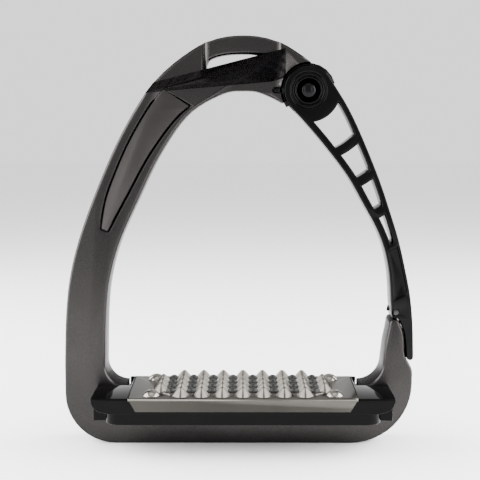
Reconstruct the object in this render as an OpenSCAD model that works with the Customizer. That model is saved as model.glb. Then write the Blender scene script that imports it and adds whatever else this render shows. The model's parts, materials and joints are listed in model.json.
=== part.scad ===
// Safety stirrup iron with a sprung release arm.
// Front view is the XZ plane, the rider's toe points to +Y, and the iron stands on Z = 0.

/* [Frame] */
// Overall height
height = 179.4; // [160:0.2:220]
// Clear width between the two sides at the tread
clear_w = 122; // [100:1:150]
// Depth of the frame at its foot
foot_depth = 17.6; // [14:0.2:22]
// Depth of the frame at its crown
crown_depth = 13.6; // [13:0.2:18]
// Width of the solid side seen from the front
side_w = 17.8; // [14:0.2:24]
// Width of the crown band above the foot space
crown_w = 23.9; // [21:0.1:30]
// Height of the base rail
rail_h = 14.5; // [12:0.5:17]
// Radius of the lower corner on the solid side
left_corner_r = 22.3; // [16:0.1:26]
// Radius of the lower corner on the release side
right_corner_r = 27; // [20:0.5:30]
// Height of the stub that the release arm closes on
stub_top = 55.8; // [50:0.2:64]
// Radius of the rounded stub tip
stub_tip_r = 2.3; // [1.8:0.1:2.8]

/* [Leather eye] */
// Width of the slot for the stirrup leather
eye_w = 31.6; // [26:0.2:34]
// Height of the slot at its middle
eye_h = 9.3; // [7:0.1:11]
// Metal left above the slot
eye_bar = 8; // [6.5:0.1:9.5]
// How far each face of the bar is set back
bar_setback = 2.4; // [1:0.1:3]

/* [Hub] */
// Distance of the pivot from the middle of the iron
hub_x = 28.4; // [26:0.1:31]
// Depth of the pivot below the top
hub_drop = 23.6; // [22:0.1:26]
// Radius of the round end of the release arm
hub_r = 10.6; // [10.2:0.1:11.2]
// Radius of the round seat in the crown
seat_r = 12.2; // [11.7:0.1:12.8]
// Radius of the pivot pin
pin_r = 3; // [2.5:0.1:3.2]
// Running clearance round the pin
pin_clear = 0.05; // [0.02:0.01:0.09]
// Thickness of the frame's tongue between the cheeks
tongue_t = 7; // [6:0.2:8]
// Wall of the bronze bush
bush_wall = 1; // [0.8:0.1:1.2]
// Wire diameter of the torsion spring
wire_d = 0.9; // [0.7:0.1:1]
// Turns of the torsion spring
spring_turns = 3; // [2:1:3]

/* [Release arm] */
// Width of the arm's inner rail beside its windows
inner_rail = 3; // [2.4:0.1:3.4]
// Width of the arm's outer rail beside its windows
outer_rail = 2.4; // [2:0.1:2.8]
// Width of a rung
rung_w = 4; // [3:0.1:5]
// Gap between the closed arm and the stub
close_gap = 0.5; // [0.3:0.05:0.8]
// Length of the tail that laps the stub
tail_l = 16.5; // [12:0.5:20]
// Depth of the blind panel in the lower arm
panel_d = 1.4; // [0.6:0.1:2]

/* [Footbed] */
// How far each end of the black footbed reaches past the clear width
bed_wing = 3.3; // [0:0.1:4]
// How far the footbed stands in front of the frame's middle
bed_front = 33.3; // [28:0.1:38]
// Width of the footbed's edge behind the tread plate
bed_margin = 1.4; // [1:0.1:3]
// Height of the footbed body
bed_h = 12; // [11:0.1:15]
// Depth of the slab that caps the footbed's front
visor_h = 6.9; // [5:0.1:8]

/* [Tread plate] */
// Distance from each end of the tread plate to the frame's side
plate_gap = 12.6; // [11:0.1:18]
// Depth of the steel tread plate
plate_d = 42.1; // [36:0.1:46]
// Thickness of the steel sheet
sheet_t = 1.2; // [0.8:0.1:1.6]
// How far the plate stands above the footbed
plate_proud = 0.3; // [0.1:0.1:0.8]
// Height of the bent front lip
lip_h = 5.7; // [3:0.1:7]
// Spacing of the teeth across the plate
tooth_pitch_x = 8.8; // [8:0.1:9.6]
// Spacing of the teeth from front to back
tooth_pitch_y = 8; // [7.4:0.1:8.4]
// Height of a tooth above the plate
tooth_h = 4; // [2:0.1:5]
// Height of a rubber stud above the plate
stud_h = 2.7; // [1:0.1:3.5]

/* [Fasteners] */
// Distance of the tread screws from the ends of the plate
screw_inset = 9.5; // [8:0.1:11]
// Distance of the tread screws from the middle of the plate
screw_y = 15; // [12:0.1:16]
// Radius of the screw shanks
shank_r = 1.95; // [1.5:0.05:2.1]
// Radius of the domed screw heads
head_r = 3.75; // [3.2:0.05:4.2]
// Height of the domed screw heads
head_h = 2.5; // [1.8:0.1:2.8]
// Distance of each rail screw inside the tread screw beside it
rail_screw_step = 12.9; // [8:0.1:16]

/* [Hidden] */

$fn = 64;
far = 60;                  // reach of a cut that runs past the part
fit = 0.2;                 // space round a part that is let into another
curve_steps = 5;           // straight steps between two points of a smooth outline
arc_steps = 12;            // straight steps in a corner

half_clear = clear_w / 2;
bed_w = clear_w + 2 * bed_wing;
plate_w = clear_w - 2 * plate_gap;
screw_x = plate_w / 2 - screw_inset;
rail_screw_x = screw_x - rail_screw_step;
hub_z = height - hub_drop;
hub = [hub_x, hub_z];
tongue_r = hub_r - 1;
tongue_gap = 0.15;         // side clearance between the tongue and each cheek
cheek_in = tongue_t / 2 + tongue_gap;
seat_gap = 0.4;            // radial clearance between the hub's lower step and its seat
step_y = crown_depth / 2 - 1.6; // half depth of the hub's lower step
step_start = 15;           // angle at which that step begins
step_end = 218;            // angle at which that step ends
web_gap = 0.6;             // radial clearance between the tongue and the arm's web
web_start = 15;            // angle at which the web between the cheeks begins
web_end = 236;             // angle at which the web between the cheeks ends
bush_r = pin_r + pin_clear + bush_wall;
washer_r = bush_r + 1.3;
washer_t = 0.1;
spring_r = 6.9;            // mean radius of the spring coil
pocket_in_r = spring_r - wire_d / 2 - 0.5;
pocket_out_r = spring_r + wire_d / 2 + 0.5;
spring_pitch = wire_d + 0.1;
pocket_floor = tongue_t / 2 - spring_pitch * spring_turns - wire_d - 0.4;
cap_r = 7.8;
cap_t = 1.7;
ring_r = 4.6;
ring_t = 0.8;
pin_half = 7.3;            // half the length of the pivot pin over its domed ends
cheek_out = 7.05;          // half depth of the arm at the hub
anchor_r = 1.3;
slot_w = 2.7;
anchor_x = hub_x - seat_r - 2.3;

fillet_r = 9.4;            // blend from the solid side into the tread
stub_fillet_r = 10.4;      // blend from the tread into the stub
bed_top = rail_h + bed_h;
shoulder_x = half_clear - fillet_r;
shoulder_z = bed_top - 0.6;
spring_line = shoulder_z + fillet_r;
stub_root = shoulder_x + stub_fillet_r;
stub_base = shoulder_z + stub_fillet_r;
stub_h = stub_top - stub_base;
tip = [half_clear + 5.9, stub_top - stub_tip_r];
stub_w = 4.8;              // how far the stub's outer side stands out from the middle of its tip
saddle_r = stub_tip_r + close_gap;
tail_end_r = 1.5;
strike_r = 1.35;
strike_at = [tip.x + 0.4, stub_top + close_gap + 2.5];

// Distances from the pivot at which the arm's windows and its blind panel begin and end
window_rings = [[hub_r + 3.2, 27.5], [27.5 + rung_w, 43.5], [43.5 + rung_w, 59.5], [59.5 + rung_w, 76]];
panel_ring = [78.5, 99];
panel_edge = 1.2;

plate_top = bed_top + plate_proud;
plate_bottom = plate_top - sheet_t;
plate_front = -bed_front - sheet_t;
plate_back = plate_front + plate_d;
plate_mid = (plate_front + plate_back) / 2;
bed_back = plate_back + bed_margin;
bed_frame_gap = 0.1;       // the footbed's rear face in front of the frame
bed_step = 2.1;            // width of the groove between the frame's shoulder and the footbed
groove_d = 2.6;            // depth of that groove
groove_end = 1.6;          // thickness of the wall that closes it at the rear
pocket_count = 6;
pocket_wall = 2.4;
pad_t = 1.4;
tooth_cols = floor((screw_x - head_r + 0.2) * 2 / tooth_pitch_x) - 1;
tooth_rows = floor((plate_d - 10) / tooth_pitch_y) + 1;
pad_half = [tooth_cols * tooth_pitch_x / 2 + 4, (tooth_rows - 1) * tooth_pitch_y / 2 + 0.6];
insert_r = shank_r + 0.95;
insert_h = 8;
rail_head_r = 3.5;
rail_head_h = 3.8;
rail_recess = 0.6;
screw_clear = 0.25;

// Steps of the arch: share of half the clear width, share of the arch height, band width
arch_left = [
  [-1, 0, side_w],
  [-0.99, 0.184, side_w - 0.2],
  [-0.961, 0.318, side_w - 0.5],
  [-0.888, 0.452, side_w - 0.5],
  [-0.755, 0.603, side_w + 0.6],
  [-0.594, 0.77, side_w + 1.2],
  [-0.389, 0.915, (side_w + crown_w) / 2 - 0.4],
  [-0.153, 0.9875, crown_w - 0.8],
  [0, 1, crown_w]];
arch_last = len(arch_left) - 1;
arch = concat(arch_left, [for (i = [arch_last - 1:-1:0]) [-arch_left[i].x, arch_left[i].y, arch_left[i].z]]);
crown_end_out = arch_last + 1.62;
crown_end_in = arch_last + 1.55;

// Value of a smooth curve through a list of points, at t counted in points
function curve_at(points, t) =
  let (last = len(points) - 1,
       i = max(0, min(floor(t), last - 1)),
       f = t - i,
       a = i > 0 ? points[i - 1] : 2 * points[0] - points[1],
       b = points[i],
       c = points[i + 1],
       d = i + 2 <= last ? points[i + 2] : 2 * points[last] - points[last - 1])
  0.5 * (2 * b + (c - a) * f + (2 * a - 5 * b + 4 * c - d) * f * f + (3 * b - a - 3 * c + d) * f * f * f);

// The curve as a list of points from one place to another
function curve(points, from, to, steps) =
  [for (i = [0:steps]) curve_at(points, from + (to - from) * i / steps)];

// A whole open curve, and a whole closed one
function open_curve(points) = curve(points, 0, len(points) - 1, curve_steps * (len(points) - 1));
function closed_curve(points) =
  let (n = len(points), ring = concat([points[n - 1]], points, [points[0], points[1]]))
  [for (i = [0:curve_steps * n - 1]) curve_at(ring, 1 + i / curve_steps)];

function arc(centre, radius, from, to) =
  [for (i = [0:arc_steps]) let (a = from + (to - from) * i / arc_steps) centre + radius * [cos(a), sin(a)]];

function reversed(list) = [for (i = [len(list) - 1:-1:0]) list[i]];

// A path moved sideways, to the left of its direction
function moved(path, distance) =
  let (last = len(path) - 1)
  [for (i = [0:last])
    let (step = path[min(i + 1, last)] - path[max(i - 1, 0)])
    path[i] + distance * [-step.y, step.x] / norm(step)];

// The stub's outer side below its tip, which the arm's tail follows at a gap
function stub_side(gap) = [tip + [stub_tip_r + gap, 0], tip + [3.5 + gap, -2.8], tip + [4.3 + gap, -7],
                           tip + [stub_w + gap, 2.6 - tail_l]];

// A point of the arch, some way out from its inner edge
function arch_inner(t) =
  let (p = curve_at(arch, t)) [p.x * half_clear, spring_line + p.y * (height - crown_w - spring_line)];
function arch_normal(t) =
  let (step = arch_inner(t + 0.02) - arch_inner(t - 0.02)) [-step.y, step.x] / norm(step);
function arch_point(t, out) = arch_inner(t) + out * arch_normal(t);

// A point of the release arm: share of the way across and up from the stub tip to the hub
function arm_at(across, up) = [hub_x + across * (tip.x + 0.1 - hub_x), stub_top + up * (hub_z - stub_top)];

// Turns a front-view outline into a solid between two places in Y
module along_y(from, to) {
  translate([0, to, 0]) rotate([90, 0, 0]) linear_extrude(to - from) children();
}

module rod_y(at, radius, from, to) {
  translate([at.x, to, at.y]) rotate([90, 0, 0]) cylinder(r = radius, h = to - from);
}

module rod_z(x, y, radius, from, to) {
  translate([x, y, from]) cylinder(r = radius, h = to - from);
}

module block(low, high) {
  translate(low) cube(high - low);
}

// The wedge that makes frame and arm thinner towards the crown
module taper(grow) {
  low = foot_depth / 2 + grow;
  high = crown_depth / 2 + grow;
  rotate([90, 0, 90]) linear_extrude(4 * far, center = true)
    polygon([[-low, 0], [low, 0], [high, height + 1], [-high, height + 1]]);
}

// Part of a disc between two angles, in the front view
module sector(centre, radius, from, to) {
  polygon(concat([centre], [for (i = [0:arc_steps]) let (a = from + (to - from) * i / arc_steps)
    centre + radius * [cos(a), sin(a)]]));
}

module frame_outline() {
  steps = curve_steps * 10;
  outer = [for (i = [0:steps]) let (t = crown_end_out * i / steps) arch_point(t, curve_at(arch, t).z)];
  inner = [for (i = [0:steps]) arch_inner(crown_end_in * i / steps)];
  stub_in = [[stub_root, stub_base], [stub_root + 0.9, stub_base + 0.4 * stub_h],
             [tip.x - stub_tip_r - 0.6, tip.y - 3.6], [tip.x - stub_tip_r, tip.y]];
  heel = [tip + [stub_w + 3, -tail_l - 3.5], tip + [stub_w + 3.2, -tail_l - 9]];
  left_x = -half_clear - side_w;
  polygon(concat(
    arc([left_x + left_corner_r, left_corner_r], left_corner_r, 270, 180),
    outer, [hub], reversed(inner),
    arc([-shoulder_x, spring_line], fillet_r, 180, 270),
    [[-shoulder_x, rail_h], [shoulder_x, rail_h]],
    arc([shoulder_x, stub_base], stub_fillet_r, 270, 360),
    open_curve(stub_in),
    arc(tip, stub_tip_r, 170, 10),
    open_curve(concat(stub_side(0), heel)),
    arc([heel[1].x - right_corner_r, right_corner_r], right_corner_r, 0, -90)));
}

module eye_outline() {
  half = eye_w / 2;
  top = height - eye_bar;
  low = top - eye_h;
  polygon(closed_curve([
    [0, top], [0.5 * half, top - 0.5], [0.88 * half, top - 2.3], [half, top - 5.6],
    [0.92 * half, low - 0.1], [0.72 * half, low - 1.4], [0.38 * half, low - 0.7],
    [0, low], [-0.38 * half, low - 0.7], [-0.72 * half, low - 1.4], [-0.92 * half, low - 0.1],
    [-half, top - 5.6], [-0.88 * half, top - 2.3], [-0.5 * half, top - 0.5]]));
}

// The set-back of the eye bar, seen from above, with coved ends
module setback_outline() {
  reach = eye_w / 2 + 1.4;
  cove = bar_setback + 0.9;
  face = crown_depth / 2 - bar_setback;
  polygon(concat([[reach, far], [-reach, far]],
    arc([-reach + cove, face + cove], cove, 180, 270),
    arc([reach - cove, face + cove], cove, 270, 360)));
}

module inlay_outline() {
  low = 3.15;
  high = 6.15;
  steps = 20;
  inner_side = [for (i = [0:steps]) let (f = i / steps) arch_point(low + (high - low) * f, 6.4 - 3.9 * f)];
  outer_side = [for (i = [0:steps]) let (f = i / steps)
    arch_point(low + (high - 0.15 - low) * f, 9.4 + 3.2 * sin(90 * min(1, f * 3)) + 2.6 * f)];
  polygon(concat(inner_side, reversed(outer_side)));
}

module frame() {
  color("#4a4846") difference() {
    union() {
      difference() {
        intersection() {
          along_y(-far, far) frame_outline();
          taper(0);
        }
        for (side = [-1, 1])
          rod_y(hub, seat_r, side > 0 ? tongue_t / 2 : -far, side > 0 ? far : -tongue_t / 2);
      }
      rod_y(hub, tongue_r, -tongue_t / 2, tongue_t / 2);
    }
    along_y(-far, far) eye_outline();
    for (side = [0, 180])
      rotate([0, 0, side]) translate([0, 0, height - eye_bar - eye_h + 0.6])
        linear_extrude(far) setback_outline();
    rod_y(hub, bush_r, -far, far);
    difference() {
      rod_y(hub, pocket_out_r, pocket_floor, far);
      rod_y(hub, pocket_in_r, -far, far + 1);
    }
    rod_y([anchor_x, hub_z], slot_w / 2, -far, far);
    block([anchor_x, -far, hub_z - slot_w / 2], [anchor_x + 5, far, hub_z + slot_w / 2]);
    block([anchor_x, pocket_floor, hub_z - wire_d], [hub_x - spring_r, far, hub_z + wire_d]);
    difference() {
      along_y(-far, 0) inlay_outline();
      taper(-0.6);
    }
    for (side = [-1, 1]) {
      rod_z(side * rail_screw_x, 0, shank_r + screw_clear, -1, rail_h + 1);
      rod_z(side * rail_screw_x, 0, rail_head_r + screw_clear, -1, rail_recess + rail_head_h);
    }
  }
}

module side_inlay() {
  color("#565350") difference() {
    intersection() {
      along_y(-far, 0) inlay_outline();
      taper(0.4);
    }
    taper(-0.6);
  }
}

module spring_anchor() {
  color("#1c1c1c") union() {
    rod_y([anchor_x, hub_z], anchor_r, -5, 5);
    block([anchor_x, -5, hub_z - anchor_r], [hub_x - seat_r - 0.1, pocket_floor - 0.2, hub_z + anchor_r]);
    block([anchor_x, 0.1 - tongue_t / 2, hub_z - anchor_r],
          [hub_x - tongue_r - 0.1, pocket_floor - 0.2, hub_z + anchor_r]);
  }
}

module pivot_bush() {
  color("#a07c44") difference() {
    rod_y(hub, bush_r, -tongue_t / 2, tongue_t / 2);
    rod_y(hub, pin_r + pin_clear, -far, far);
  }
}

module thrust_washer(side) {
  at = side * (tongue_t / 2 + washer_t / 2);
  color("#d8d6cc") difference() {
    rod_y(hub, washer_r, at - washer_t / 2, at + washer_t / 2);
    rod_y(hub, pin_r + pin_clear, -far, far);
  }
}

// One round tube along a list of points, its rings square to the Y axis' own plane
module coil(points, radius, sides) {
  n = len(points);
  rings = [for (i = [0:n - 1])
    let (ahead = points[min(i + 1, n - 1)] - points[max(i - 1, 0)],
         along = ahead / norm(ahead),
         across = cross(along, [0, 1, 0]) / norm(cross(along, [0, 1, 0])),
         up = cross(across, along))
    for (k = [0:sides - 1])
      let (a = 360 * k / sides) points[i] + radius * (cos(a) * across + sin(a) * up)];
  walls = [for (i = [0:n - 2], k = [0:sides - 1])
    let (a = i * sides + k, b = i * sides + (k + 1) % sides) [a, b, b + sides, a + sides]];
  first_end = [for (k = [sides - 1:-1:0]) k];
  last_end = [for (k = [0:sides - 1]) (n - 1) * sides + k];
  polyhedron(rings, concat([first_end, last_end], walls));
}

// The spring's deep end reaches the anchor, and its outer end stands in a hole in the rear cheek
spring_deep_y = tongue_t / 2 - 0.2 - wire_d / 2 - spring_pitch * spring_turns;
spring_sweep = 360 * spring_turns - 120;
spring_end_y = spring_deep_y + spring_pitch * spring_sweep / 360;
spring_end_a = 180 - spring_sweep;
spring_leg_at = hub + spring_r * [cos(spring_end_a), sin(spring_end_a)];

module torsion_spring() {
  steps = ceil(20 * spring_sweep / 360);
  leg_start = anchor_x + anchor_r + 0.05;
  path = [for (i = [0:steps])
    let (f = i / steps, a = 180 - spring_sweep * f)
    [hub_x + spring_r * cos(a), spring_deep_y + (spring_end_y - spring_deep_y) * f, hub_z + spring_r * sin(a)]];
  color("#b8b8b8") union() {
    coil(path, wire_d / 2, 8);
    translate([hub_x - spring_r, spring_deep_y, hub_z]) sphere(r = wire_d / 2);
    translate([leg_start, spring_deep_y, hub_z]) rotate([0, 90, 0])
      cylinder(r = wire_d / 2, h = hub_x - spring_r - leg_start);
    translate([spring_leg_at.x, spring_end_y, spring_leg_at.y]) sphere(r = wire_d / 2);
    rod_y(spring_leg_at, wire_d / 2, spring_end_y, cheek_out - cap_t - 0.2);
  }
}

// Edges of the release arm, from the hub down
arm_inner = open_curve([
  hub + hub_r * [cos(222), sin(222)], arm_at(-0.057, 0.87), arm_at(0.176, 0.766),
  arm_at(0.446, 0.629), arm_at(0.64, 0.498), arm_at(0.775, 0.404), arm_at(0.872, 0.31),
  arm_at(0.93, 0.21), arm_at(0.952, 0.12), arm_at(0.958, 0.075)]);
arm_outer = open_curve([
  hub + hub_r * [cos(30), sin(30)], arm_at(0.448, 0.922), arm_at(0.619, 0.784),
  arm_at(0.8, 0.615), arm_at(0.927, 0.473), arm_at(1.02, 0.36), arm_at(1.098, 0.237),
  arm_at(1.166, 0.106), arm_at(1.2, -0.025), tip + [stub_w + close_gap + 2 * tail_end_r, 2 - tail_l]]);

module arm_outline() {
  tail_out = arm_outer[len(arm_outer) - 1];
  union() {
    translate(hub) circle(r = hub_r);
    polygon(concat([hub], arm_inner,
      [[tip.x - 1.2, tip.y + saddle_r + 2.2]],
      arc(tip, saddle_r, 110, 12),
      open_curve(stub_side(close_gap)),
      arc([tail_out.x - tail_end_r, tail_out.y], tail_end_r, 180, 360),
      reversed(arm_outer)));
  }
}

// The space between the arm's two rails
module between_rails(inner, outer) {
  polygon(concat(moved(arm_inner, inner), reversed(moved(arm_outer, -outer))));
}

module ring_y(radius_in, radius_out, from, to) {
  difference() {
    rod_y(hub, radius_out, from, to);
    rod_y(hub, radius_in, from - 1, to + 1);
  }
}

module release_arm() {
  color("#17181a") difference() {
    union() {
      intersection() {
        along_y(-far, far) arm_outline();
        taper(0);
      }
      for (from = [cheek_in, -step_y])
        along_y(from, from + step_y - cheek_in) sector(hub, seat_r - seat_gap, step_start, step_end);
    }
    rod_y(hub, tongue_r + web_gap, -cheek_in, cheek_in);
    along_y(-cheek_in, cheek_in) sector(hub, 2.2 * hub_r, web_start, web_end);
    for (ring = window_rings)
      intersection() {
        ring_y(ring[0], ring[1], -far, far);
        along_y(-far, far) between_rails(inner_rail, outer_rail);
      }
    for (side = [-1, 1])
      intersection() {
        ring_y(panel_ring[0], panel_ring[1], -far, far);
        along_y(side > 0 ? 0 : -far, side > 0 ? far : 0) between_rails(panel_edge, panel_edge);
        difference() {
          block([-far, -far, 0], [2 * far, far, height]);
          taper(-panel_d);
        }
      }
    rod_y(hub, pin_r, -far, far);
    for (side = [-1, 1])
      rod_y(hub, cap_r, side > 0 ? cheek_out - cap_t : -far, side > 0 ? far : cap_t - cheek_out);
    rod_y(spring_leg_at, wire_d / 2 + 0.2, 0, far);
    rod_y(strike_at, strike_r, -far, far);
  }
}

module strike_pin() {
  color("#8c8c8a") rod_y(strike_at, strike_r, -foot_depth / 2 + 1.2, foot_depth / 2 - 1.2);
}

// The pin's end is part of a ball, so that it stands proud of the rings round it
module pivot_pin() {
  dome_r = 6;
  dome_a = asin(pin_r / dome_r);
  end = [0, pin_half - dome_r];
  profile = [for (i = [0:arc_steps]) let (a = 90 - dome_a * i / arc_steps) end + dome_r * [cos(a), sin(a)]];
  color("#202020") translate([hub_x, 0, hub_z]) rotate([90, 0, 0]) rotate_extrude()
    polygon(concat(profile, reversed([for (p = profile) [p.x, -p.y]])));
}

// Turned profile round the pivot, seen from the front for side -1 and from the rear for side 1
module turned(side) {
  translate([hub_x, 0, hub_z]) rotate([90 * -side, 0, 0]) rotate_extrude() children();
}

module hub_cap(side) {
  low = cheek_out - cap_t;
  color("#141416") turned(side) polygon([
    [ring_r + 0.5, low], [cap_r, low], [cap_r, low + cap_t - 0.3], [cap_r - 0.3, low + cap_t],
    [cap_r - 1.2, low + cap_t], [cap_r - 1.6, low + cap_t - 0.5], [ring_r + 1.5, low + cap_t - 0.5],
    [ring_r + 1.1, low + cap_t - 0.1], [ring_r + 0.7, low + cap_t - 0.1], [ring_r + 0.5, low + cap_t - 0.4]]);
}

module retaining_ring(side) {
  low = cheek_out - cap_t;
  color("#2a2a2c") turned(side) polygon([
    [pin_r, low], [ring_r, low], [ring_r, low + ring_t - 0.2], [ring_r - 0.3, low + ring_t],
    [pin_r + 0.3, low + ring_t], [pin_r, low + ring_t - 0.3]]);
}

module visor_outline() {
  half = bed_w / 2;
  polygon(concat([[half, bed_top], [-half, bed_top]],
    open_curve([[-half, bed_top - 1.6], [-half + 0.9, bed_top - 3.7], [-half + 3, bed_top - 5.6],
                [-half + 8, bed_top - visor_h]]),
    open_curve([[half - 8, bed_top - visor_h], [half - 3, bed_top - 5.6], [half - 0.9, bed_top - 3.7],
                [half, bed_top - 1.6]])));
}

module bed_plan() {
  half = bed_w / 2 - 5.3;
  front = -bed_front + 1.8;
  corner = 7;
  polygon(concat([[half, -foot_depth / 2], [-half, -foot_depth / 2]],
    arc([-half + corner, front + corner], corner, 180, 270),
    arc([half - corner, front + corner], corner, 270, 360)));
}

module footbed() {
  back = -foot_depth / 2 - bed_frame_gap;
  mid_half = shoulder_x - bed_step;
  groove_half = shoulder_x - 0.3;
  pocket_w = (bed_w - 14 - pocket_wall * (pocket_count + 1)) / pocket_count;
  color("#1c1c1d") difference() {
    union() {
      along_y(-bed_front, back) visor_outline();
      translate([0, 0, rail_h]) linear_extrude(bed_h - 1) bed_plan();
      block([-bed_w / 2, -bed_front + 9, rail_h], [bed_w / 2, back, bed_top - 2]);
      block([-mid_half, back - 1, rail_h], [mid_half, bed_back, bed_top]);
      block([-groove_half, back - 1, rail_h], [groove_half, bed_back, bed_top - groove_d]);
      block([-groove_half, bed_back - groove_end, rail_h], [groove_half, bed_back, bed_top]);
    }
    block([-plate_w / 2 - fit, -far, plate_bottom], [plate_w / 2 + fit, plate_back + fit, far]);
    block([-pad_half.x - fit, plate_mid - pad_half.y - fit, plate_bottom - pad_t],
          [pad_half.x + fit, plate_mid + pad_half.y + fit, far]);
    for (x = [-screw_x, screw_x], y = [-screw_y, screw_y])
      rod_z(x, plate_mid + y, insert_r, plate_bottom - insert_h, far);
    for (x = [-rail_screw_x, rail_screw_x])
      rod_z(x, 0, insert_r, -1, rail_h + insert_h);
    for (i = [0:pocket_count - 1]) {
      x = -bed_w / 2 + 7 + pocket_wall + i * (pocket_w + pocket_wall);
      block([x, -bed_front + 9.2, rail_h - 1],
            [x + pocket_w, back - pocket_wall, plate_bottom - pad_t - pocket_wall]);
    }
  }
}

// The lattice of teeth, and the lattice of studs between them
teeth = [for (i = [-tooth_cols - 1:2:tooth_cols + 1], j = [-tooth_rows + 1:2:tooth_rows - 1])
  if (abs(i) < tooth_cols || abs(j) < tooth_rows - 1) [i * tooth_pitch_x / 2, plate_mid + j * tooth_pitch_y / 2]];
studs = [for (i = [-tooth_cols:2:tooth_cols], j = [-tooth_rows + 2:2:tooth_rows - 2])
  [i * tooth_pitch_x / 2, plate_mid + j * tooth_pitch_y / 2]];

module diamond(share) {
  polygon([[tooth_pitch_x / 2 * share, 0], [0, tooth_pitch_y / 2 * share],
           [-tooth_pitch_x / 2 * share, 0], [0, -tooth_pitch_y / 2 * share]]);
}

module tread_plate() {
  half = plate_w / 2;
  color("#a19e9a") difference() {
    union() {
      block([-half, plate_front, plate_bottom], [half, plate_back, plate_top]);
      along_y(plate_front, plate_front + sheet_t) polygon([
        [-half, plate_top - 0.2], [half, plate_top - 0.2],
        [half - 3.2, plate_top - lip_h], [-half + 3.2, plate_top - lip_h]]);
      for (at = teeth)
        translate([at.x, at.y, plate_bottom + 0.2])
          linear_extrude(tooth_h + sheet_t - 0.2, scale = 0.08) diamond(0.97);
    }
    for (at = studs)
      translate([at.x, at.y, plate_bottom - 1]) linear_extrude(far) diamond(0.72);
    for (x = [-screw_x, screw_x], y = [-screw_y, screw_y])
      rod_z(x, plate_mid + y, shank_r + screw_clear, -1, far);
  }
}

module grip_pad() {
  color("#2c2b29") union() {
    block([-pad_half.x, plate_mid - pad_half.y, plate_bottom - pad_t],
          [pad_half.x, plate_mid + pad_half.y, plate_bottom]);
    for (at = studs)
      translate([at.x, at.y, plate_bottom - 0.4])
        linear_extrude(stud_h + sheet_t + 0.4, scale = 0.3) diamond(0.68);
  }
}

module tread_screw(x, y) {
  dome = (head_r * head_r + head_h * head_h) / (2 * head_h);
  color("#b5b2ad") difference() {
    union() {
      rod_z(x, plate_mid + y, shank_r, plate_bottom - insert_h + 1, plate_top + 0.2);
      intersection() {
        rod_z(x, plate_mid + y, head_r, plate_top, plate_top + head_h);
        translate([x, plate_mid + y, plate_top + head_h - dome]) sphere(r = dome);
      }
    }
    translate([x, plate_mid + y, plate_top + head_h - 1.2]) cylinder(r = 1.3, h = far, $fn = 6);
  }
}

module insert(x, y, low, high) {
  color("#b08d4a") difference() {
    rod_z(x, y, insert_r, low, high);
    rod_z(x, y, shank_r, -far, far);
  }
}

module tread_insert(x, y) {
  insert(x, plate_mid + y, plate_bottom - insert_h, plate_bottom);
}

module rail_screw(x) {
  color("#8f8f90") difference() {
    union() {
      rod_z(x, 0, rail_head_r, rail_recess, rail_recess + rail_head_h);
      rod_z(x, 0, shank_r, rail_recess + rail_head_h - 0.2, rail_h + insert_h - 1);
    }
    translate([x, 0, 0]) cylinder(r = 1.75, h = rail_recess + 2.2, $fn = 6);
  }
}

module rail_insert(x) {
  insert(x, 0, rail_h, rail_h + insert_h);
}

frame();
side_inlay();
spring_anchor();
pivot_bush();
thrust_washer(-1);  // thrust_washer_front
thrust_washer(1);  // thrust_washer_rear
torsion_spring();
footbed();
grip_pad();
tread_plate();
tread_screw(-screw_x, -screw_y);  // tread_screw_front_left
tread_screw(screw_x, -screw_y);  // tread_screw_front_right
tread_screw(-screw_x, screw_y);  // tread_screw_rear_left
tread_screw(screw_x, screw_y);  // tread_screw_rear_right
tread_insert(-screw_x, -screw_y);  // tread_insert_front_left
tread_insert(screw_x, -screw_y);  // tread_insert_front_right
tread_insert(-screw_x, screw_y);  // tread_insert_rear_left
tread_insert(screw_x, screw_y);  // tread_insert_rear_right
rail_screw(-rail_screw_x);  // rail_screw_left
rail_screw(rail_screw_x);  // rail_screw_right
rail_insert(-rail_screw_x);  // rail_insert_left
rail_insert(rail_screw_x);  // rail_insert_right
release_arm();
pivot_pin();
hub_cap(-1);  // hub_cap_front
hub_cap(1);  // hub_cap_rear
retaining_ring(-1);  // retaining_ring_front
retaining_ring(1);  // retaining_ring_rear
strike_pin();
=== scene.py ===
"""A safety stirrup iron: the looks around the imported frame."""
import json
import math

import bmesh
import bpy
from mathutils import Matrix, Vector


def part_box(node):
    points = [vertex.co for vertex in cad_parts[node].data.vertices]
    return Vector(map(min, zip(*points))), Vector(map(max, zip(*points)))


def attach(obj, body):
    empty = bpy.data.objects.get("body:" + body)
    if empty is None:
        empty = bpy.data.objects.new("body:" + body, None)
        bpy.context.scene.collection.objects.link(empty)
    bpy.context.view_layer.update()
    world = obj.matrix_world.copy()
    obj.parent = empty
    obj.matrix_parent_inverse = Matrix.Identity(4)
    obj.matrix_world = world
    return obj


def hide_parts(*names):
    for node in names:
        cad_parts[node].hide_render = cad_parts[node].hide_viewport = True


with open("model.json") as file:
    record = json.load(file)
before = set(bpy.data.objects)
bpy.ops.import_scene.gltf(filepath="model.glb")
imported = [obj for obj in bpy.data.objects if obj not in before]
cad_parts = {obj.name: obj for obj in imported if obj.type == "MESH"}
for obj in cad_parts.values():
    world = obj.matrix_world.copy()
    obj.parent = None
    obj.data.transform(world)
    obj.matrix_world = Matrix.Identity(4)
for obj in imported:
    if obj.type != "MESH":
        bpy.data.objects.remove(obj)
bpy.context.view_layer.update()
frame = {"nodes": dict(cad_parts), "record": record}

MM = 0.001
NODES = frame["nodes"]
BODY_OF = {node: body for body, nodes in frame["record"]["behaviour"]["bodies"].items() for node in nodes}
SLOT_OF = {row["node"]: row["material_slot"] for row in frame["record"]["subparts"]}


# ---------------------------------------------------------------- materials

def colour_steps(ramp, steps):
    """Sets the stops of a colour ramp from (place, colour) pairs."""
    elements = ramp.color_ramp.elements
    while len(elements) < len(steps):
        elements.new(0.5)
    for element, (place, colour) in zip(elements, steps):
        element.position = place
        element.color = (*colour, 1)


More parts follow.
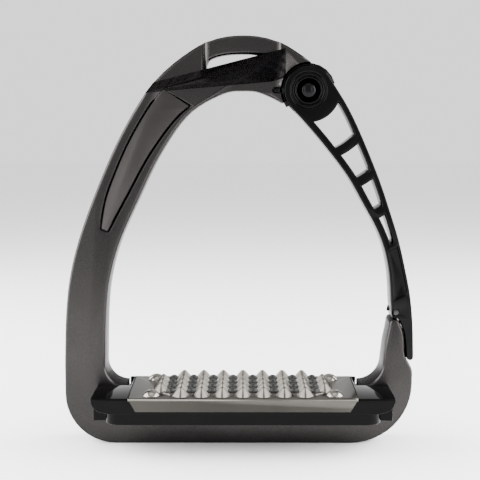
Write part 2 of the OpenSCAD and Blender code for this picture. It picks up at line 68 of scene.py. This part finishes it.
def make_material(name, dark, light, metallic, rough, grain, grain_depth, stretch=(1, 1, 1),
                  specular=0.5, edge_tint=1.0, cloud=60):
    """A finish whose colour drifts between two tones, with a fine grain that also varies its gloss.

    grain and cloud are the scales of the fine noise and of the drift, and grain_depth is in mm.
    """
    material = bpy.data.materials.new(name)
    material.use_nodes = True
    tree = material.node_tree
    shader = tree.nodes["Principled BSDF"]
    shader.inputs["Metallic"].default_value = metallic
    shader.inputs["Specular IOR Level"].default_value = specular
    shader.inputs["Specular Tint"].default_value = (edge_tint, edge_tint, edge_tint, 1)

    place = tree.nodes.new("ShaderNodeTexCoord")
    mapping = tree.nodes.new("ShaderNodeMapping")
    mapping.inputs["Scale"].default_value = stretch
    tree.links.new(place.outputs["Object"], mapping.inputs["Vector"])

    drift = tree.nodes.new("ShaderNodeTexNoise")
    drift.inputs["Scale"].default_value = cloud
    drift.inputs["Detail"].default_value = 3
    tree.links.new(place.outputs["Object"], drift.inputs["Vector"])
    tone = tree.nodes.new("ShaderNodeValToRGB")
    colour_steps(tone, [(0.3, dark), (0.7, light)])
    tree.links.new(drift.outputs["Fac"], tone.inputs["Fac"])
    tree.links.new(tone.outputs["Color"], shader.inputs["Base Color"])

    fine = tree.nodes.new("ShaderNodeTexNoise")
    fine.inputs["Scale"].default_value = grain
    fine.inputs["Detail"].default_value = 4
    tree.links.new(mapping.outputs["Vector"], fine.inputs["Vector"])
    gloss = tree.nodes.new("ShaderNodeMapRange")
    gloss.inputs["To Min"].default_value = rough * 0.85
    gloss.inputs["To Max"].default_value = rough * 1.15
    tree.links.new(fine.outputs["Fac"], gloss.inputs["Value"])
    tree.links.new(gloss.outputs["Result"], shader.inputs["Roughness"])

    bump = tree.nodes.new("ShaderNodeBump")
    bump.inputs["Strength"].default_value = 0.35
    bump.inputs["Distance"].default_value = grain_depth * MM
    tree.links.new(fine.outputs["Fac"], bump.inputs["Height"])
    tree.links.new(bump.outputs["Normal"], shader.inputs["Normal"])
    return material


BRUSHED = (1, 12, 12)
MATERIALS = {
    "dark_aluminium": make_material(
        "anodised_aluminium", (0.0225, 0.0213, 0.0209), (0.031, 0.0292, 0.0285), metallic=1, rough=0.27,
        grain=2600, grain_depth=0.006, edge_tint=0.42, cloud=22),
    "inlay": make_material(
        "inlay_aluminium", (0.031, 0.0285, 0.028), (0.041, 0.0377, 0.037), metallic=1, rough=0.3,
        grain=2600, grain_depth=0.006, edge_tint=0.42, cloud=25),
    "black_polymer": make_material(
        "gloss_black", (0.006, 0.006, 0.0062), (0.0088, 0.0088, 0.009), metallic=1, rough=0.18,
        grain=1800, grain_depth=0.004, edge_tint=0.35),
    "footbed_polymer": make_material(
        "footbed_black", (0.0008, 0.0008, 0.0008), (0.0014, 0.0014, 0.0013), metallic=0, rough=0.07,
        grain=1500, grain_depth=0.001, specular=0.05),
    "grip_rubber": make_material(
        "grip_rubber", (0.004, 0.004, 0.0036), (0.008, 0.0077, 0.0072), metallic=0, rough=0.5,
        grain=2400, grain_depth=0.04, specular=0.2),
    "stainless": make_material(
        "brushed_stainless", (0.064, 0.06, 0.0535), (0.074, 0.0695, 0.0625), metallic=1, rough=0.3,
        grain=700, grain_depth=0.01, stretch=BRUSHED, edge_tint=0.8),
    "screw_steel": make_material(
        "polished_steel", (0.15, 0.139, 0.124), (0.2, 0.187, 0.17), metallic=1, rough=0.2,
        grain=1500, grain_depth=0.004, edge_tint=0.8),
    "black_steel": make_material(
        "black_steel", (0.008, 0.008, 0.0084), (0.013, 0.013, 0.0136), metallic=1, rough=0.22,
        grain=1800, grain_depth=0.004, edge_tint=0.4),
    "spring_steel": make_material(
        "spring_steel", (0.012, 0.012, 0.013), (0.02, 0.02, 0.021), metallic=1, rough=0.3,
        grain=2000, grain_depth=0.006, edge_tint=0.4),
    "pin_steel": make_material(
        "pin_steel", (0.03, 0.03, 0.03), (0.045, 0.045, 0.044), metallic=1, rough=0.3,
        grain=1500, grain_depth=0.006, edge_tint=0.6),
    "bronze": make_material(
        "bronze", (0.3, 0.19, 0.07), (0.42, 0.27, 0.11), metallic=1, rough=0.32,
        grain=1500, grain_depth=0.01),
    "brass": make_material(
        "brass", (0.45, 0.31, 0.1), (0.6, 0.43, 0.17), metallic=1, rough=0.3,
        grain=1500, grain_depth=0.01),
    "washer_polymer": make_material(
        "washer_polymer", (0.62, 0.61, 0.56), (0.74, 0.73, 0.68), metallic=0, rough=0.4,
        grain=1500, grain_depth=0.01),
}


# ---------------------------------------------------------------- pieces made from a part's own mesh

# points closer than this are the two sides of one seam
SEAM = 0.002 * MM
# a smaller face is never shaded as a flat area
PLAIN_AREA = 12 * MM * MM
# a face with more corners than this is a whole flat area, not one step of a curved wall
WALL_STEP_CORNERS = 8
# the steps of a curved wall meet at folds between these angles
STEP_FOLDS = (math.radians(0.5), math.radians(25))
# how squarely a front or rear face looks along Y, and how little a wall between them does
FACING = 0.97
WALL_LEAN = 0.4


def joined_mesh(node):
    """The part's mesh with its seams closed and its flat areas made single faces."""
    work = bmesh.new()
    work.from_mesh(NODES[node].data)
    bmesh.ops.remove_doubles(work, verts=work.verts, dist=SEAM)
    bmesh.ops.dissolve_degenerate(work, edges=work.edges, dist=SEAM)
    bmesh.ops.dissolve_limit(work, angle_limit=math.radians(0.3), verts=work.verts, edges=work.edges)
    return work


def fold(edge):
    """The angle between an edge's two faces, or 0 at an open edge."""
    return edge.calc_face_angle(0) if len(edge.link_faces) == 2 else 0


def is_plain(face):
    """Whether a face is a flat area of the part, and not one step of a curved wall."""
    if face.calc_area() < PLAIN_AREA:
        return False
    if abs(face.normal.y) > FACING or len(face.verts) > WALL_STEP_CORNERS:
        return True
    return not any(STEP_FOLDS[0] < fold(edge) < STEP_FOLDS[1] and other.calc_area() > PLAIN_AREA
                   for edge in face.edges for other in edge.link_faces if other is not face)


def round_edges(work, width, segments, wanted, least_angle=30):
    """Rounds, in mm, the folds that are sharp enough and wanted by middle point and face normals."""
    edges = [edge for edge in work.edges if fold(edge) > math.radians(least_angle)
             and wanted((edge.verts[0].co + edge.verts[1].co) / 2 / MM,
                        *(face.normal for face in edge.link_faces))]
    if edges:
        bmesh.ops.bevel(work, geom=edges, offset=width * MM, offset_type="OFFSET", segments=segments,
                        profile=0.5, affect="EDGES", clamp_overlap=False, loop_slide=True)


def finished(name, work, node, smooth_angle=38):
    """Puts the mesh in the scene as a piece that stands for its node."""
    mesh = bpy.data.meshes.new(name)
    bmesh.ops.recalc_face_normals(work, faces=work.faces)
    for face in work.faces:
        face.smooth = not is_plain(face)
    work.to_mesh(mesh)
    work.free()
    mesh.set_sharp_from_angle(angle=math.radians(smooth_angle))
    mesh.materials.clear()
    mesh.materials.append(MATERIALS[SLOT_OF[node]])
    piece = bpy.data.objects.new(name, mesh)
    bpy.context.scene.collection.objects.link(piece)
    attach(piece, BODY_OF[node])
    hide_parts(node)
    return piece


def everywhere(place, *normals):
    return True


def rounded_part(node, width, segments=2, wanted=everywhere):
    """A piece with the part's own shape and its sharp edges rounded."""
    work = joined_mesh(node)
    round_edges(work, width, segments, wanted)
    return finished(node + "_piece", work, node)


def box_mm(node):
    """The part's lowest and highest corner in mm."""
    return [Vector(corner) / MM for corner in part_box(node)]


def face_to_wall(place, *normals):
    """Whether a fold lies between a front or rear face and a wall that runs front to rear."""
    along = sorted(abs(normal.y) for normal in normals)
    return along[1] > FACING and along[0] < WALL_LEAN


# ---------------------------------------------------------------- frame, arm and hub

def make_frame():
    """The frame with its outline rounded, save round the hub's seat and in the spring's slot."""
    hub_low, hub_high = box_mm("hub_cap_front")
    hub = Vector(((hub_low.x + hub_high.x) / 2, 0, (hub_low.z + hub_high.z) / 2))
    seat_reach = 12.8
    slot_half = 1.6

    def outline(place, *normals):
        away = Vector((place.x - hub.x, 0, place.z - hub.z)).length
        in_slot = place.x < hub.x and abs(place.z - hub.z) < slot_half
        return face_to_wall(place, *normals) and away > seat_reach and not in_slot

    # open fault: at this width the crown is drawn wrongly round the leather eye
    rounded_part("frame", width=1.3, segments=6, wanted=outline)


make_frame()
rounded_part("release_arm", width=0.5, segments=3, wanted=face_to_wall)
rounded_part("side_inlay", width=0.35, segments=3)
rounded_part("footbed", width=0.35, segments=3)
for side in ("front", "rear"):
    rounded_part("hub_cap_" + side, width=0.12)
    rounded_part("retaining_ring_" + side, width=0.1)
rounded_part("strike_pin", width=0.2, segments=3)
rounded_part("pivot_pin", width=0.1)
rounded_part("spring_anchor", width=0.2)
for end in ("front_left", "front_right", "rear_left", "rear_right"):
    rounded_part("tread_screw_" + end, width=0.15)
    rounded_part("tread_insert_" + end, width=0.15)
for end in ("left", "right"):
    rounded_part("rail_screw_" + end, width=0.2)
    rounded_part("rail_insert_" + end, width=0.15)
for node in ("pivot_bush", "thrust_washer_front", "thrust_washer_rear", "torsion_spring"):
    finished(node + "_piece", joined_mesh(node), node)


# ---------------------------------------------------------------- tread plate and grip pad

TOOTH_PITCH_X = 8.8
TOOTH_PITCH_Y = 8.0
# what the pad's length and width have beyond whole pitches
PAD_END_ROOM = 8
PAD_SIDE_ROOM = 1.2
# how far the plate's top stands above the footbed
PLATE_RISE = 0.3
RING_POINTS = 32
# each step of a profile is (share of half a pitch, height above the plate's top)
LIP_PROFILE = ((0.64, -0.5), (0.64, 0.4), (0.68, 0.72), (0.77, 0.75), (0.85, 0.45), (0.9, -0.3))
LIP_ROUNDNESS = 0.12
TOOTH_PROFILE = ((0.93, -0.3), (0.9, 0.1), (0.75, 0.9), (0.55, 1.95), (0.37, 2.9), (0.24, 3.5),
                 (0.15, 3.82), (0.06, 3.98))
TOOTH_ROUNDNESS = 0.3
# and of a stud's profile (share of half a pitch, share of the stud's height)
STUD_PROFILE = ((0.56, 0.3), (0.52, 0.52), (0.46, 0.72), (0.36, 0.87), (0.24, 0.96), (0.1, 1))
STUD_ROOT = (0.57, -0.3)
STUD_FOOT_ROUNDNESS = 0.2
STUD_ADDED_ROUNDNESS = 0.5


def lattice():
    """The places of the teeth and of the studs in mm, worked out from the pad's own size."""
    low, high = box_mm("grip_pad")
    middle = (low.y + high.y) / 2
    columns = round((high.x - low.x - PAD_END_ROOM) / TOOTH_PITCH_X)
    rows = round((high.y - low.y - PAD_SIDE_ROOM) / TOOTH_PITCH_Y) + 1

    def place(i, j):
        return i * TOOTH_PITCH_X / 2, middle + j * TOOTH_PITCH_Y / 2

    teeth = [place(i, j) for i in range(-columns - 1, columns + 2, 2) for j in range(1 - rows, rows, 2)
             if abs(i) < columns or abs(j) < rows - 1]
    studs = [place(i, j) for i in range(-columns, columns + 1, 2) for j in range(2 - rows, rows - 1, 2)]
    return teeth, studs


def plate_top():
    return box_mm("footbed")[1].z + PLATE_RISE


def diamond_ring(work, at, share, height, roundness):
    """A ring of points round a diamond; a higher roundness draws it towards an ellipse."""
    reach_x = TOOTH_PITCH_X / 2 * share
    reach_y = TOOTH_PITCH_Y / 2 * share
    ring = []
    for k in range(RING_POINTS):
        angle = 2 * math.pi * k / RING_POINTS
        c, s = math.cos(angle), math.sin(angle)
        diamond = 1 / (abs(c) + abs(s))
        reach = diamond * (1 - roundness) + roundness
        ring.append(work.verts.new(((at[0] + reach_x * reach * c) * MM, (at[1] + reach_y * reach * s) * MM,
                                    height * MM)))
    return ring


def join_rings(work, rings, close_end=True):
    """Skins a stack of rings, and closes its two ends if asked."""
    for low, high in zip(rings, rings[1:]):
        count = len(low)
        for k in range(count):
            work.faces.new((low[k], low[(k + 1) % count], high[(k + 1) % count], high[k]))
    if close_end:
        work.faces.new(rings[-1])
        work.faces.new(list(reversed(rings[0])))


def make_tread_plate():
    """The plate with its bent lip, the lips that punching left, and a swelling skin on each tooth."""
    teeth, studs = lattice()
    low, _ = box_mm("tread_plate")
    top = plate_top()
    work = joined_mesh("tread_plate")

    def bend(place, *normals):
        return abs(place.y - low.y) < 0.05 and place.z > top - PLATE_RISE

    def raised(place, *normals):
        return place.z > top + 0.4

    round_edges(work, width=0.75, segments=4, wanted=bend, least_angle=60)
    round_edges(work, width=0.14, segments=2, wanted=raised, least_angle=25)
    for at in studs:
        rings = [diamond_ring(work, at, share, top + up, LIP_ROUNDNESS) for share, up in LIP_PROFILE]
        join_rings(work, rings + [rings[0]], close_end=False)
    for at in teeth:
        join_rings(work, [diamond_ring(work, at, share, top + up, TOOTH_ROUNDNESS)
                          for share, up in TOOTH_PROFILE])
    finished("tread_plate_piece", work, "tread_plate", smooth_angle=55)


def make_grip_pad():
    """A thin rubber base with round corners, and a domed stud for each opening of the plate."""
    _, studs = lattice()
    low, high = box_mm("grip_pad")
    base_top = plate_top() - 1.2
    corner = 1.2
    corner_steps = 6
    outline = []
    for sx, sy, start in ((1, 1, 0), (-1, 1, 90), (-1, -1, 180), (1, -1, 270)):
        cx = high.x - corner if sx > 0 else low.x + corner
        cy = high.y - corner if sy > 0 else low.y + corner
        outline += [(cx + corner * math.cos(math.radians(start + 90 / corner_steps * k)),
                     cy + corner * math.sin(math.radians(start + 90 / corner_steps * k)))
                    for k in range(corner_steps + 1)]
    work = bmesh.new()
    join_rings(work, [[work.verts.new((x * MM, y * MM, z * MM)) for x, y in outline]
                      for z in (low.z, base_top)])

    rise = high.z - base_top
    profile = [STUD_ROOT] + [(share, height * rise) for share, height in STUD_PROFILE]
    last = len(profile) - 1
    for at in studs:
        join_rings(work, [diamond_ring(work, at, share, base_top + up,
                                       STUD_FOOT_ROUNDNESS + STUD_ADDED_ROUNDNESS * index / last)
                          for index, (share, up) in enumerate(profile)])
    finished("grip_pad_piece", work, "grip_pad", smooth_angle=50)


make_tread_plate()
make_grip_pad()


# ---------------------------------------------------------------- camera, floor and light

def make_camera():
    """Looks at the iron from the front and a little above, as the photo does."""
    camera_data = bpy.data.cameras.new("camera")
    camera_data.sensor_width = 36
    camera_data.lens = 84.2
    camera_data.dof.use_dof = False
    camera = bpy.data.objects.new("camera", camera_data)
    bpy.context.scene.collection.objects.link(camera)
    camera.location = (0, -495.2 * MM, 144.3 * MM)
    pitch = math.radians(6.25)
    yaw = math.radians(0.153)
    camera.rotation_euler = (math.pi / 2 - pitch, 0, yaw)
    bpy.context.scene.camera = camera


def area_light(name, at, target, size_x, size_y, power):
    """A soft box that lights and reflects without being seen itself."""
    data = bpy.data.lights.new(name, "AREA")
    data.energy = power
    data.shape = "RECTANGLE"
    data.size = size_x
    data.size_y = size_y
    light = bpy.data.objects.new(name, data)
    bpy.context.scene.collection.objects.link(light)
    light.location = at
    light.rotation_euler = (Vector(target) - Vector(at)).to_track_quat("-Z", "Y").to_euler()
    light.visible_camera = False


def make_world():
    """An even white surround."""
    world = bpy.data.worlds.new("world")
    bpy.context.scene.world = world
    world.use_nodes = True
    background = world.node_tree.nodes["Background"]
    background.inputs["Color"].default_value = (1, 1, 1, 1)
    background.inputs["Strength"].default_value = 1.5


def make_stage():
    """A plain pale floor."""
    mesh = bpy.data.meshes.new("floor")
    half = 3
    corners = [(-half, -half, 0), (half, -half, 0), (half, half, 0), (-half, half, 0)]
    mesh.from_pydata(corners, [], [(0, 1, 2, 3)])
    floor = bpy.data.objects.new("floor", mesh)
    bpy.context.scene.collection.objects.link(floor)
    material = bpy.data.materials.new("floor")
    material.use_nodes = True
    shader = material.node_tree.nodes["Principled BSDF"]
    shader.inputs["Base Color"].default_value = (0.95, 0.95, 0.95, 1)
    shader.inputs["Roughness"].default_value = 0.8
    mesh.materials.append(material)


make_camera()
make_world()
make_stage()
for side in (-1, 1):
    area_light("side_box", (side * 0.5, 0, 0.28), (side * 0.05, 0, 0.2), size_x=0.8, size_y=0.56, power=20)
    area_light("front_strip", (side * 0.3, -0.52, 0.26), (0, 0, 0.1), size_x=0.06, size_y=0.5, power=0.8)
area_light("top", (0, -0.3, 1.1), (0, 0, 0.03), size_x=0.7, size_y=0.7, power=3.5)
